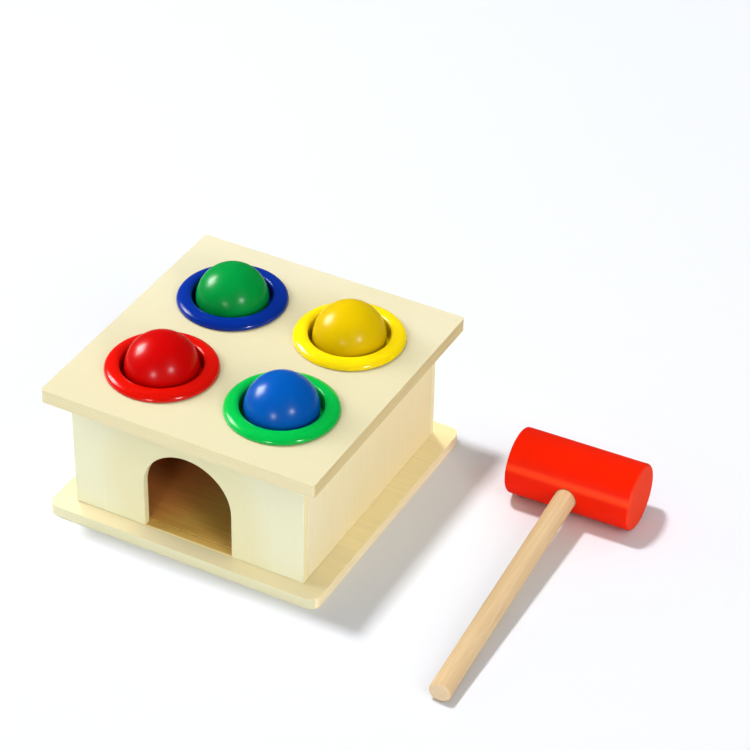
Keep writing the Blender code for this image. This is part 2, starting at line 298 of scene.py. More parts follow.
@dataclass(frozen=True)
class SandedPlywood:
    """Sanded basswood plywood, rotary-cut veneers glued crosswise and left bare.

    It gives the eye a pale, matt face with faint long streaks, and edges where paler and
    browner plies lie on each other.
    """

    name: str
    veneer: Veneer
    grain: Axis
    stack: Axis
    ply_shares: tuple[float, ...]
    glue_share: float = 0.3
    streak_share: float = 0.45
    tinge_centre: Triple = (0.0, 0.0, 0.0)
    tinge_pull: float = 0.0
    tinge_stops: Pair = (0.38, 0.62)
    fibre_size: Pair = (30.0 * MM, 0.4 * MM)
    figure_size: Pair = (130.0 * MM, 11.0 * MM)
    tinge_size: Pair = (76.0 * MM, 38.0 * MM)
    pore_size: Pair = (30.0 * MM, 0.3 * MM)
    grain_texture: Pair = (0.6, 0.15)
    figure_lines: float = 7.0
    figure_share: float = 0.5
    glue_line: float = 0.024
    ply_waver: float = 0.05
    ply_waver_size: float = 1.6 * MM
    streak_stops: Pair = (0.36, 0.72)
    pore_stops: Pair = (0.42, 0.66)
    roughness: Pair = (0.58, 0.74)
    relief: Pair = (0.35, 0.06 * MM)
    gloss: float = 0.3

    def cross_axis(self) -> Axis:
        """Returns the direction in which the cross plies' grain runs."""
        return next(axis for axis in Axis if axis not in (self.grain, self.stack))

    def ply_stops(self) -> tuple[Profile, Profile]:
        """Works out where the cross plies and the glue lines lie in the board's thickness.

        Returns:
            Stops that are 1 in a cross ply, and stops that are 1 at a glue line.
        """
        cross = [(0.0, 0.0)]
        glue = [(0.0, 0.0)]
        place = 0.0
        for index, share in enumerate(self.ply_shares[:-1]):
            place += share
            shade = float(index % 2 == 0)
            half = self.glue_line / 2
            cross += [(place - half, 1.0 - shade), (place + half, shade)]
            glue += [(place - self.glue_line, 0.0), (place, 1.0), (place + self.glue_line, 0.0)]
        return cross, glue

    def material(self, low: Vector, high: Vector, tilt: float = 0.0) -> Material:
        """Makes the material for a board.

        Args:
            low: Lowest corner of the board.
            high: Highest corner of the board.
            tilt: Slope of the board about the X axis, in radians.

        Returns:
            The material.
        """
        nodes = Shading(self.name)
        place = nodes.place()
        level = nodes.mapping(place, turn=(-tilt, 0, 0))
        fibres, figure, tinge, pores = [
            nodes.grain(level, axis, size, detail, *self.grain_texture)
            for axis, size, detail in (
                (self.grain, self.fibre_size, FINEST), (self.grain, self.figure_size, PLAIN),
                (self.grain, self.tinge_size, PLAIN), (self.cross_axis(), self.pore_size, FINE),
            )
        ]
        # Depth in the board, from 0 to 1, stirred a little so that the plies waver.
        start = low[self.stack.value]
        thickness = high[self.stack.value] - start
        shift, scale = [(value / thickness,) * 3 for value in (-start, 1)]
        deep = nodes.mapping(level, shift, scale=scale)
        waver = nodes.spots(level, self.ply_waver_size, PLAIN)
        stirred = nodes.maths(
            "MULTIPLY_ADD", waver, self.ply_waver, nodes.split(deep)[self.stack.value],
        )
        depth = nodes.maths("SUBTRACT", stirred, self.ply_waver / 2)
        cross, glue = [nodes.ramp(depth, stops) for stops in self.ply_stops()]
        streaks = nodes.ramp(fibres, tuple(zip(self.streak_stops, (0.0, 1.0))))
        dots = nodes.ramp(pores, tuple(zip(self.pore_stops, (0.0, 1.0))))
        both = nodes.figured(figure, self.figure_lines, self.figure_share, streaks)
        share = nodes.maths("MULTIPLY", both, self.streak_share)
        # The tinge takes over with the distance from its centre, unevenly.
        away = nodes.vector_maths("DISTANCE", place, self.tinge_centre).outputs["Value"]
        pulled = nodes.maths("MULTIPLY_ADD", away, self.tinge_pull, tinge)
        clouds = nodes.carried(pulled, self.tinge_stops)
        veneer = self.veneer
        ground = nodes.blend(clouds, veneer.face, veneer.tinge)
        face = nodes.blend(share, ground, veneer.streak)
        core = nodes.blend(dots, veneer.core, veneer.streak)
        plies = nodes.blend(cross, face, core)
        line = nodes.maths("MULTIPLY", glue, self.glue_share)
        wood = nodes.blend(line, plies, veneer.glue)
        height = add_node(
            nodes.tree, "ShaderNodeMix", {0: cross, 2: fibres, 3: pores}, data_type="FLOAT",
        ).outputs[0]
        rough = nodes.carried(streaks, target=self.roughness)
        return nodes.finish(wood, rough, height, self.relief, self.gloss)


class Layer(Enum):
    """A pattern of an even skin."""

    CLOUD = 0
    RELIEF = 1


@dataclass(frozen=True)
class EvenSkin:
    """A skin of one colour that is hardly uneven in tone, with a fine relief."""

    name: str
    colour: str
    deep: str
    gloss: float
    roughness: Pair
    dulled_by: Layer
    cloud_size: float
    relief_size: float
    relief: Pair

    def material(self, centre: Vector) -> Material:
        """Makes the skin, with its pattern centred on the piece.

        Args:
            centre: Centre of the piece.

        Returns:
            The material.
        """
        nodes = Shading(self.name)
        place = nodes.mapping(nodes.place(), tuple(-centre))
        layers = [nodes.spots(place, size, FINE) for size in (self.cloud_size, self.relief_size)]
        tone = nodes.blend(layers[Layer.CLOUD.value], self.colour, self.deep)
        rough = nodes.carried(layers[self.dulled_by.value], target=self.roughness)
        height = layers[Layer.RELIEF.value]
        return nodes.finish(tone, rough, height, self.relief, self.gloss)


@dataclass(frozen=True)
class GlossPaint(EvenSkin):
    """Sprayed gloss enamel on a turned wooden ball.

    It gives the eye one full colour, a soft-edged highlight and a very slight orange peel.
    """

    gloss: float = 0.06
    roughness: Pair = (0.21, 0.29)
    dulled_by: Layer = Layer.CLOUD
    cloud_size: float = 9.0 * MM
    relief_size: float = 1.4 * MM
    relief: Pair = (0.2, 0.02 * MM)


@dataclass(frozen=True)
class SoftVinyl(EvenSkin):
    """Injection-moulded soft vinyl, dyed through.

    It gives the eye a saturated colour with a waxy gloss, a little duller than the balls.
    """

    gloss: float = 0.24
    roughness: Pair = (0.08, 0.15)
    dulled_by: Layer = Layer.RELIEF
    cloud_size: float = 14.0 * MM
    relief_size: float = 0.9 * MM
    relief: Pair = (0.1, 0.01 * MM)


@dataclass(frozen=True)
class SatinPaint:
    """Satin lacquer dipped over a turned hardwood cylinder.

    It gives the eye a strong colour under which the grain still stands up a little, paler
    and duller on the end grain, where the paler tone is also painted light on the end
    faces, and worn to bare wood on the rim of the handle's hole.
    """

    name: str
    colour: str
    deep: str
    painted_highlight_colour: str
    end_colour: str
    bare: str
    half_length: float
    rim_radius: float
    gloss: float = 0.05
    rim_width: float = 0.3 * MM
    end_depth: float = 0.9 * MM
    painted_highlight_height: float = 5.3 * MM
    painted_highlight_width: float = 2.4 * MM
    fibre_size: Pair = (18.0 * MM, 0.7 * MM)
    cloud_size: float = 12.0 * MM
    roughness: Pair = (0.36, 0.5)
    relief: Pair = (0.35, 0.06 * MM)

    def material(self, to_head: Matrix, to_handle: Matrix) -> Material:
        """Makes the lacquer.

        Args:
            to_head: Turns the part's coordinates to the head's, with its axis along X.
            to_handle: Turns the part's coordinates to the handle's, with its axis along X.

        Returns:
            The material.
        """
        nodes = Shading(self.name)
        own, hole = [nodes.own_place(turned) for turned in (to_head, to_handle)]
        fibres = nodes.grain(own, Axis.X, self.fibre_size, FINEST)
        cloud = nodes.spots(own, self.cloud_size, FINE)
        coat = nodes.blend(cloud, self.colour, self.deep)
        along = nodes.split(own)
        # A painted highlight: a paler, oranger band along the head, where the lamps' sheen runs.
        off_highlight = nodes.maths("ABSOLUTE", nodes.maths("SUBTRACT", along[2], self.painted_highlight_height))
        highlight_band = nodes.carried(
            off_highlight, (0.0, self.painted_highlight_width), (1.0, 0.0), interpolation_type="SMOOTHSTEP",
        )
        highlighted = nodes.blend(highlight_band, coat, self.painted_highlight_colour)
        # The ends are paler: the end grain's tone, with painted light on the end faces.
        reach = nodes.maths("ABSOLUTE", along[0])
        ends = nodes.carried(reach, (self.half_length - self.end_depth, self.half_length))
        painted = nodes.blend(ends, highlighted, self.end_colour)
        # On the handle's side the place along its axis counts as 0, so that only the distance
        # from the axis is left. On the far side it is negative and keeps the bare rim away.
        across = nodes.vector_maths("MINIMUM", hole, (0.0, 1.0, 1.0)).outputs[0]
        distance = nodes.vector_maths("LENGTH", across).outputs["Value"]
        frayed = nodes.maths("MULTIPLY_ADD", fibres, self.rim_width, distance)
        rim_stops = (self.rim_radius + self.rim_width, self.rim_radius + 2 * self.rim_width)
        rim = nodes.carried(frayed, rim_stops, (1.0, 0.0))
        worn = nodes.blend(rim, painted, self.bare)
        rough = nodes.carried(ends, target=self.roughness)
        return nodes.finish(worn, rough, fibres, self.relief, self.gloss)


@dataclass(frozen=True)
class BareDowel:
    """Birch dowel, sanded and left bare.

    It gives the eye a warm, matt rod with long streaks and a browner, dotted end.
    """

    name: str
    light: str
    streak: str
    end_colour: str
    reach: float
    fibre_size: Pair = (34.0 * MM, 0.45 * MM)
    figure_size: Pair = (70.0 * MM, 3.4 * MM)
    grain_texture: Pair = (0.5, 0.2)
    figure_lines: float = 5.0
    figure_share: float = 0.8
    tone_stops: Pair = (0.35, 1.05)
    end_depth: float = 0.25 * MM
    roughness: Pair = (0.5, 0.7)
    relief: Pair = (0.4, 0.06 * MM)
    gloss: float = 0.35

    def material(self, to_handle: Matrix) -> Material:
        """Makes the bare wood.

        Args:
            to_handle: Turns the part's coordinates to the handle's, with its axis along X.

        Returns:
            The material.
        """
        nodes = Shading(self.name)
        own = nodes.own_place(to_handle)
        fibres, figure = [
            nodes.grain(own, Axis.X, size, FINEST, *self.grain_texture)
            for size in (self.fibre_size, self.figure_size)
        ]
        mixed = nodes.figured(figure, self.figure_lines, self.figure_share, fibres)
        wood = nodes.blend(nodes.carried(mixed, self.tone_stops), self.light, self.streak)
        ends = nodes.carried(nodes.split(own)[0], (self.reach - self.end_depth, self.reach))
        dressed = nodes.blend(ends, wood, self.end_colour)
        rough = nodes.carried(fibres, target=self.roughness)
        return nodes.finish(dressed, rough, fibres, self.relief, self.gloss)


def arc(centre: Pair, reach: Pair, start: float, end: float, steps: int) -> Profile:
    """Sets points along an elliptic arc.

    Args:
        centre: Middle of the ellipse.
        reach: Its two half widths.
        start: First angle in degrees.
        end: Last angle in degrees.
        steps: Number of stretches.

    Returns:
        The points, first and last included.
    """
    turns = [math.radians(start + (end - start) * step / steps) for step in range(steps + 1)]
    return [
        (centre[0] + reach[0] * math.cos(turn), centre[1] + reach[1] * math.sin(turn))
        for turn in turns
    ]


def spun(profile: Profile, steps: int, closed: bool = False, lying: bool = False) -> Mesh:
    """Turns a profile once about an axis.

    Args:
        profile: Points of radius and place along the axis.
        steps: Number of stretches round the axis.
        closed: Whether the last point joins the first one.
        lying: Whether the axis is X and not Z.

    Returns:
        The closed shell.
    """
    bm = bmesh.new()
    points = [bm.verts.new((radius, 0, height)) for radius, height in profile]
    first = 0 if closed else 1
    edges = [
        bm.edges.new((points[index - 1], points[index])) for index in range(first, len(points))
    ]
    bmesh.ops.spin(
        bm, geom=points + edges, cent=(0, 0, 0), axis=(0, 0, 1), angle=2 * math.pi,
        steps=steps, use_merge=True,
    )
    bmesh.ops.remove_doubles(bm, verts=bm.verts, dist=SAME_PLACE)
    bmesh.ops.recalc_face_normals(bm, faces=bm.faces)
    if lying:
        bmesh.ops.rotate(bm, verts=bm.verts, matrix=Matrix.Rotation(math.pi / 2, 3, "Y"))
    return bm


def draw_out(bm: Mesh, direction: Vector) -> None:
    """Draws a flat sheet out along a direction, so that it becomes a closed body.

    Args:
        bm: The sheet.
        direction: How far and which way it goes.
    """
    grown = bmesh.ops.extrude_face_region(bm, geom=bm.faces[:])
    moved = [part for part in grown["geom"] if isinstance(part, bmesh.types.BMVert)]
    bmesh.ops.translate(bm, verts=moved, vec=direction)
    bmesh.ops.recalc_face_normals(bm, faces=bm.faces)


def drawn_out(points: Sequence[Triple], direction: Vector) -> Mesh:
    """Draws a flat outline out along a direction.

    Args:
        points: Corners of the outline in order.
        direction: How far and which way it goes.

    Returns:
        The closed body.
    """
    bm = bmesh.new()
    bm.faces.new([bm.verts.new(point) for point in points])
    draw_out(bm, direction)
    return bm


def soften(bm: Mesh, edges: Edges, size: float, steps: int) -> None:
    """Rounds edges.

    Args:
        bm: The mesh.
        edges: The edges to round.
        size: How far the rounding reaches.
        steps: Number of stretches across it.
    """
    bmesh.ops.bevel(
        bm, geom=edges, offset=size, segments=steps, profile=ROUND, affect="EDGES",
        clamp_overlap=True, material=-1,
    )


def sharp_edges(bm: Mesh) -> Edges:
    """Returns the edges whose faces meet at a clear angle."""
    return [edge for edge in bm.edges if edge.calc_face_angle(0.0) > FLAT_ANGLE]


def slow_noise(place: Vector) -> float:
    """Returns smooth noise about between 0 and 1."""
    return 0.5 + 0.5 * noise.noise(place)


def add_object(name: str, bm: Mesh) -> Item:
    """Turns a finished mesh into an object of the scene, at the origin.

    Args:
        name: Name of the object and its mesh.
        bm: The mesh, in place. It is freed.

    Returns:
        The object.
    """
    mesh = bpy.data.meshes.new(name)
    bm.to_mesh(mesh)
    bm.free()
    item = bpy.data.objects.new(name, mesh)
    bpy.context.scene.collection.objects.link(item)
    return item


@dataclass(frozen=True)
class Stand:
    """What a piece stands for: its body, its node, and its material slot of the record, which
    nothing here reads.
    """

    body: str
    node: str
    slot: str

    def add_piece(self, finish_word: str, bm: Mesh, materials: Sequence[Material]) -> Item:
        """Adds a piece with smooth curves and flat faces, which moves with its body.

        Args:
            finish_word: Word that the piece's name has after its node's.
            bm: Its mesh, in place. It is freed.
            materials: Its finishes, in the order of the faces' material numbers.

        Returns:
            The piece.
        """
        item = add_object(f"{self.node}_{finish_word}", bm)
        for material in materials:
            item.data.materials.append(material)
        item.data.shade_smooth()
        item.data.set_sharp_from_angle(angle=SHARP_ANGLE)
        even = item.modifiers.new("even_normals", "WEIGHTED_NORMAL")
        even.weight = FACE_WEIGHT
        even.keep_sharp = True
        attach(item, self.body)
        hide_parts(self.node)
        LOG.info("%s rides on %s and stands for %s", item.name, self.body, self.node)
        return item


@dataclass(frozen=True)
class Threshold:
    """The strip of the floor board between the door's posts: a pale line, then a part coloured
    like the ramp.
    """

    # Finish of the pale line at the wall's face.
    bare: SandedPlywood
    ramp_look: SandedPlywood
    width: float
    rows: Triple

    def add_faces(self, bm: Mesh, height: float) -> Edges:
        """Adds the faces of the strip to a board's plan.

        Args:
            bm: The plan.
            height: Its height.

        Returns:
            The strip's outer edges.
        """
        pairs = [
            [bm.verts.new((side * self.width / 2, along, height)) for side in (-1, 1)]
            for along in self.rows
        ]
        faces = [
            bm.faces.new((near[0], near[1], far[1], far[0])) for near, far in zip(pairs, pairs[1:])
        ]
        return [edge for face in faces for edge in face.edges if edge.is_boundary]

    def row_of(self, point: Vector) -> int:
        """Tells in which row of the strip a point lies.

        Args:
            point: The point.

        Returns:
            1 on the pale line, 2 on the part coloured like the ramp and 0 beside the strip.
        """
        if abs(point.x) > self.width / 2:
            return 0
        return sum(point.y > along for along in self.rows) % len(self.rows)


@dataclass
class RoundedBoard:
    """A level plywood board with rounded corners and edges, and round holes in some."""

    node: str
    finish: SandedPlywood
    front_edging: SandedPlywood
    side_edging: SandedPlywood
    corner: float
    top_round: float
    bottom_round: float
    band: float
    hole_radius: float = 0.0
    hole_centres: tuple[Pair, ...] = ()
    threshold: Threshold | None = None
    facing: float = 0.6
    corner_steps: int = 12
    round_steps: int = 5
    hole_steps: int = 96

    def plan(self, low: Vector, high: Vector) -> Mesh:
        """Draws the board's plan as one flat sheet.

        Args:
            low: Lowest corner of the board.
            high: Highest corner of the board.

        Returns:
            The sheet, at the board's underside.
        """
        bm = bmesh.new()
        middle = (low + high) / 2
        size = high - low
        bmesh.ops.create_grid(bm, x_segments=1, y_segments=1, size=0.5)
        bmesh.ops.scale(bm, verts=bm.verts, vec=(size.x, size.y, 1))
        bmesh.ops.translate(bm, verts=bm.verts, vec=(middle.x, middle.y, low.z))
        bmesh.ops.bevel(
            bm, geom=bm.verts[:], offset=self.corner, segments=self.corner_steps, profile=ROUND,
            affect="VERTICES", material=-1,
        )
        bmesh.ops.inset_region(
            bm, faces=bm.faces[:], thickness=self.band, use_even_offset=True,
        )
        inner = max(bm.faces, key=lambda face: face.calc_area())
        rim = list(inner.edges)
        bmesh.ops.delete(bm, geom=[inner], context="FACES_ONLY")
        for across, along in self.hole_centres:
            circle = bmesh.ops.create_circle(
                bm, segments=self.hole_steps, radius=self.hole_radius,
                matrix=Matrix.Translation((across, along, low.z)),
            )
            rim += list({edge for vertex in circle["verts"] for edge in vertex.link_edges})
        if self.threshold:
            rim += self.threshold.add_faces(bm, low.z)
        bmesh.ops.triangle_fill(bm, edges=rim, use_beauty=True)
        return bm

    def is_outer(self, edge: bmesh.types.BMEdge, height: float, low: Vector, high: Vector) -> bool:
        """Tells whether an edge runs round the board at a height, and not round a hole.

        Args:
            edge: The edge.
            height: The height.
            low: Lowest corner of the board.
            high: Highest corner of the board.

        Returns:
            Whether it does.
        """
        middle = (low + high) / 2
        reach = high - middle
        first = edge.verts[0].co
        return all(abs(vertex.co.z - height) < SEAM for vertex in edge.verts) and any(
            abs(first[axis] - middle[axis]) > reach[axis] - self.corner - SEAM for axis in (0, 1)
        )

    def build(self) -> Item:
        """Builds and dresses the board.

        Returns:
            The piece.
        """
        low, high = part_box(self.node)
        bm = self.plan(low, high)
        draw_out(bm, Vector((0, 0, high.z - low.z)))
        for height, size in ((high.z, self.top_round), (low.z, self.bottom_round)):
            edges = [edge for edge in sharp_edges(bm) if self.is_outer(edge, height, low, high)]
            soften(bm, edges, size, self.round_steps)
        finishes = [self.finish, self.side_edging, self.front_edging]
        for face in bm.faces:
            face.material_index = int(abs(face.normal.x) > self.facing)
            if abs(face.normal.y) > self.facing:
                face.material_index = EDGING
            if self.threshold and face.normal.z > self.facing:
                row = self.threshold.row_of(face.calc_center_median())
                face.material_index = row + EDGING if row else 0
        if self.threshold:
            finishes += [self.threshold.bare, self.threshold.ramp_look]
        dressed = [finish.material(low, high) for finish in finishes]
        return Stand("bench", self.node, "plywood").add_piece("sanded", bm, dressed)


@dataclass
class PlywoodWall:
    """One upright wall of the box, with the doorway where it has one."""

    node: str
    finish: SandedPlywood
    lining: SandedPlywood
    edging: SandedPlywood
    butt: float = 0.0
    doorway_width: float = 0.0
    doorway_height: float = 0.0
    arris: float = 0.45 * MM
    arris_steps: int = 3
    arch_steps: int = 72
    facing: float = 0.9

    def outline(self, low: Vector, high: Vector) -> list[Triple]:
        """Draws the wall as it is seen from the front, round the doorway where it has one.

        Args:
            low: Lowest corner of the wall.
            high: Highest corner of the wall.

        Returns:
            Corners in the plane of its front face.
        """
        corners = [(high.x, low.z), (high.x, high.z), (low.x, high.z), (low.x, low.z)]
        if self.doorway_width:
            radius = self.doorway_width / 2
            spring = low.z + (self.doorway_height + GLUE_REACH) - radius
            corners.append((-radius, low.z))
            corners += arc((0, spring), (radius, radius), 180, 0, self.arch_steps)
            corners.append((radius, low.z))
        return [(across, low.y, up) for across, up in corners]

    def build(self) -> Item:
        """Builds and dresses the wall, which reaches to the boards that it is glued to.

        Returns:
            The piece.
        """
        low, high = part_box(self.node)
        grown = Vector((0, self.butt, GLUE_REACH))
        low -= grown
        high += grown
        bm = drawn_out(self.outline(low, high), Vector((0, high.y - low.y, 0)))
        soften(bm, sharp_edges(bm), self.arris, self.arris_steps)
        inwards = -(low + high) / 2
        inwards.z = 0
        inwards.normalize()
        along = Axis.X.value + Axis.Y.value - self.finish.stack.value
        # Faces towards the inside take the lining, whose darker colour is painted shade; the edges
        # take the edging.
        for face in bm.faces:
            face.material_index = int(face.normal.dot(inwards) > self.facing)
            if abs(face.normal[along]) > self.facing:
                face.material_index = EDGING
        finishes = (self.finish, self.lining, self.edging)
        dressed = [finish.material(low, high) for finish in finishes]
        return Stand("bench", self.node, "plywood").add_piece("sanded", bm, dressed)


@dataclass
class SlopingFloor:
    """The ramp inside the box, which runs out thin behind the doorway."""

    node: str
    finish: SandedPlywood
    edging: SandedPlywood
    thickness: float = 3.0 * MM
    toe: float = 0.5 * MM
    arris: float = 0.15 * MM
    arris_steps: int = 2
    slope: float = math.radians(8.0)
    facing: float = 0.8

    def build(self) -> Item:
        """Builds and dresses the ramp.

        Returns:
            The piece.
        """
        low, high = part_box(self.node)
        fall = math.tan(self.slope)
        upright = self.thickness / math.cos(self.slope)
        outline = [
            (low.x, low.y, low.z),
            (low.x, low.y + (upright - self.toe) / fall, low.z),
            (low.x, high.y, high.z - upright),
            (low.x, high.y, high.z),
            (low.x, low.y, low.z + self.toe),
        ]
        bm = drawn_out(outline, Vector((high.x - low.x, 0, 0)))
        soften(bm, sharp_edges(bm), self.arris, self.arris_steps)
        # The toe's face towards the doorway takes a darker copy: painted shade.
        for face in bm.faces:
            face.material_index = int(face.normal.y < -self.facing)
        dressed = [done.material(low, high, self.slope) for done in (self.finish, self.edging)]
        return Stand("bench", self.node, "ramp_plywood").add_piece("sanded", bm, dressed)


@dataclass
class SoftRing:
    """A soft retaining ring: flange on the board, neck in the hole, barb below, round lip."""

    node: str
    finish: SoftVinyl
    slot: str
    centre: Vector
    board_thickness: float = 6.0 * MM
    bore_radius: float = 16.7 * MM
    flange_radius: float = 23.0 * MM
    crest_radius: float = 18.7 * MM
    bore_round: float = 1.2 * MM
    rise: float = 3.3 * MM
    foot: float = 0.5 * MM
    foot_corner: float = 0.15 * MM
    neck_wall: float = 1.9 * MM
    gap: float = 0.3 * MM
    barb_reach: float = 1.0 * MM
    barb_land: float = 0.6 * MM
    barb_height: float = 3.4 * MM
    barb_nose: float = 0.8 * MM
    lip_radius: float = 13.2 * MM
    lip_round: float = 1.1 * MM
    lip_height: float = -7.23 * MM
    skirt_steps: int = 24
    bore_steps: int = 12
    lip_steps: int = 10
    turn_steps: int = 160

    def profile(self) -> Profile:
        """Draws the ring's section, from its foot on the board over the crest and round.

        Returns:
            Points of radius and height over the board's top.
        """
        neck = self.bore_radius + self.neck_wall
        barb_top = -self.board_thickness - self.gap
        skirt = (self.flange_radius - self.crest_radius, self.rise - self.foot)
        outer = arc((self.crest_radius, self.foot), skirt, 0, 90, self.skirt_steps)
        inner = arc(
            (self.crest_radius, self.rise - self.bore_round),
            (self.crest_radius - self.bore_radius, self.bore_round), 90, 180, self.bore_steps,
        )[1:]
        lip = arc(
            (self.lip_radius + self.lip_round, self.lip_height),
            (self.lip_round, self.lip_round), 90, 270, self.lip_steps,
        )
        under = [
            (neck - self.barb_nose, barb_top - self.barb_height),
            (neck + self.barb_reach, barb_top - self.barb_land),
            (neck + self.barb_reach, barb_top),
            (neck, barb_top),
            (neck, SEAM),
            (self.flange_radius - self.foot, SEAM),
            (self.flange_radius - self.foot_corner, self.foot_corner),
        ]
        fillet = [(self.bore_radius, self.lip_height + self.lip_round + self.neck_wall)]
        return outer + inner + fillet + lip + under

    def build(self) -> Item:
        """Builds and dresses the ring.

        Returns:
            The piece.
        """
        bm = spun(self.profile(), self.turn_steps, closed=True)
        bmesh.ops.translate(bm, verts=bm.verts, vec=self.centre)
        dressed = [self.finish.material(self.centre)]
        return Stand("bench", self.node, self.slot).add_piece("moulded", bm, dressed)


@dataclass
class PaintedBall:
    """A turned wooden ball with the small mark of the pin that held it under the spray."""

    node: str
    finish: GlossPaint
    body: str
    slot: str
    radius: float = 15.0 * MM
    pin_depth: float = 0.3 * MM
    pin_width: float = 0.9 * MM
    waver: float = 0.03 * MM
    waver_size: float = 11.0 * MM
    turn_steps: int = 128
    profile_steps: int = 72

    def profile(self) -> Profile:
        """Draws half the ball's outline, from the pin mark at its underside to its top.

        Returns:
            Points of radius and height.
        """
        points = []
        for across, up in arc((0, 0), (self.radius, self.radius), -90, 90, self.profile_steps):
            sunk = self.pin_depth * math.exp(-((across / self.pin_width) ** 2)) if up < 0 else 0
            points.append((max(across, 0.0), up + sunk))
        return points

    def build(self) -> Item:
        """Builds and dresses the ball.

        Returns:
            The piece.
        """
        low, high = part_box(self.node)
        centre = (low + high) / 2
        bm = spun(self.profile(), self.turn_steps)
        for vertex in bm.verts:
            stir = slow_noise((vertex.co + centre) / self.waver_size)
            vertex.co -= vertex.co.normalized() * self.waver * stir
        bmesh.ops.translate(bm, verts=bm.verts, vec=centre)
        dressed = [self.finish.material(centre)]
        return Stand(self.body, self.node, self.slot).add_piece("painted", bm, dressed)


@dataclass
class Mallet:
    """The mallet that lies beside the box: a painted head with a bare handle in a blind hole."""

    head_radius: float = 14.0 * MM
    head_length: float = 54.0 * MM
    head_round: float = 1.3 * MM
    socket_floor: float = 10.0 * MM
    socket_gap: float = 0.05 * MM
    mouth: float = 0.2 * MM
    handle_radius: float = 4.5 * MM
    handle_reach: float = 131.0 * MM
    butt_sanding: float = 0.05 * MM
    butt_round: float = 0.9 * MM
    turn: float = math.radians(1.8)
    waver: float = 0.05 * MM
    waves_per_metre: Triple = (60.0, 130.0, 130.0)
    merge_distance: float = 0.01 * MM
    head_steps: int = 128
    head_stretches: int = 24
    handle_steps: int = 72
    handle_stretches: int = 48
    round_steps: int = 6

    def head_frame(self) -> Matrix:
        """Returns the head's place, with its axis along X."""
        low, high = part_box("hammer_head")
        return Matrix.Translation((low + high) / 2) @ Matrix.Rotation(self.turn, 4, "Z")

    def handle_frame(self) -> Matrix:
        """Works out the handle's place: it starts in the head and tips down to the floor.

        Returns:
            The place, with the handle's axis along X.
        """
        droop = math.asin((self.head_radius - self.handle_radius) / self.handle_reach)
        quarter = Matrix.Rotation(-math.pi / 2, 4, "Z")
        return self.head_frame() @ quarter @ Matrix.Rotation(droop, 4, "Y")

    def rod(self, radius: float, span: Pair, rounds: Pair, steps: int, stretches: int) -> Mesh:
        """Turns a rod about X with two rounded ends.

        Args:
            radius: Radius of the rod.
            span: Where it begins and ends along X.
            rounds: Rounding at its start and at its end.
            steps: Number of stretches round it.
            stretches: Number of stretches along it.

        Returns:
            The closed rod.
        """
        near, far = [
            arc((radius - size, place + inwards * size), (size, size), *turns, self.round_steps)
            for place, size, inwards, turns in zip(span, rounds, (1, -1), ((-90, 0), (0, 90)))
        ]
        start = near[-1][1]
        length = far[0][1] - start
        sides = [(radius, start + length * step / stretches) for step in range(1, stretches)]
        profile = [(0.0, span[0]), *near, *sides, *far, (0.0, span[1])]
        return spun(profile, steps, lying=True)

    def drill(self) -> Mesh:
        """Makes the cutter of the blind hole, wider at its mouth.

        Returns:
            The cutter, along X from the head's middle.
        """
        radius = self.handle_radius + self.socket_gap
        start = self.socket_floor - self.head_radius
        flare = self.head_radius - 3 * self.mouth
        outside = self.head_radius + 2 * self.mouth
        wide = radius + self.mouth * (outside - flare) / (3 * self.mouth)
        profile = [(0.0, start), (radius, start), (radius, flare), (wide, outside), (0.0, outside)]
        return spun(profile, self.handle_steps, lying=True)

    def drilled_head(self) -> Mesh:
        """Turns the head and cuts the blind hole into it.

        Returns:
            The head's mesh, in place.
        """
        half = self.head_length / 2
        body = self.rod(
            self.head_radius, (-half, half), (self.head_round, self.head_round),
            self.head_steps, self.head_stretches,
        )
        for vertex in body.verts:
            stir = slow_noise(vertex.co * Vector(self.waves_per_metre))
            across = Vector((0, vertex.co.y, vertex.co.z))
            vertex.co -= across.normalized() * self.waver * stir
        bmesh.ops.transform(body, matrix=self.head_frame(), verts=body.verts)
        cutter = self.drill()
        bmesh.ops.transform(cutter, matrix=self.handle_frame(), verts=cutter.verts)
        pair = [add_object("head_blank", body), add_object("head_drill", cutter)]
        cut = pair[0].modifiers.new("socket", "BOOLEAN")
        cut.operation = "DIFFERENCE"
        cut.solver = "EXACT"
        cut.object = pair[1]
        bpy.context.view_layer.update()
        ready = pair[0].evaluated_get(bpy.context.evaluated_depsgraph_get())
        bm = bmesh.new()
        bm.from_mesh(ready.to_mesh())
        ready.to_mesh_clear()
        for item in pair:
            mesh = item.data
            bpy.data.objects.remove(item)
            bpy.data.meshes.remove(mesh)
        # The cut leaves slivers, and faces with corners on a straight edge.
        bmesh.ops.remove_doubles(bm, verts=bm.verts, dist=self.merge_distance)
        cut_faces = [face for face in bm.faces if len(face.verts) > QUAD]
        bmesh.ops.triangulate(bm, faces=cut_faces, ngon_method="BEAUTY")
        return bm

    def build(self) -> list[Item]:
        """Builds and dresses the head and the handle.

        Returns:
            The two pieces.
        """
        to_head = self.head_frame().inverted()
        to_handle = self.handle_frame().inverted()
        lacquer = SatinPaint(
            "red_satin_lacquer", "#E61E00", "#DA1A00", "#F43A0A", "#EE3F22", "#A85A26",
            self.head_length / 2, self.handle_radius + self.socket_gap,
        )
        head = Stand("hammer", "hammer_head", "mallet_red").add_piece(
            "lacquered", self.drilled_head(), [lacquer.material(to_head, to_handle)],
        )
        start = self.socket_floor - self.head_radius + self.socket_gap
        rod = self.rod(
            self.handle_radius, (start, self.handle_reach - self.butt_sanding),
            (self.butt_round / 2, self.butt_round), self.handle_steps, self.handle_stretches,
        )
        bmesh.ops.transform(rod, matrix=self.handle_frame(), verts=rod.verts)
        birch = BareDowel("bare_birch_dowel", "#D8BD92", "#CDAD82", "#D4BD9B", self.handle_reach)
        handle = Stand("hammer", "hammer_handle", "dowel").add_piece(
            "dowel", rod, [birch.material(to_handle)],
        )
        return [head, handle]


class Sight(Enum):
    """Where a lamp's light shows: as shading, or only as a highlight on glossy skins."""

    SHADING = 0
    HIGHLIGHT = 1


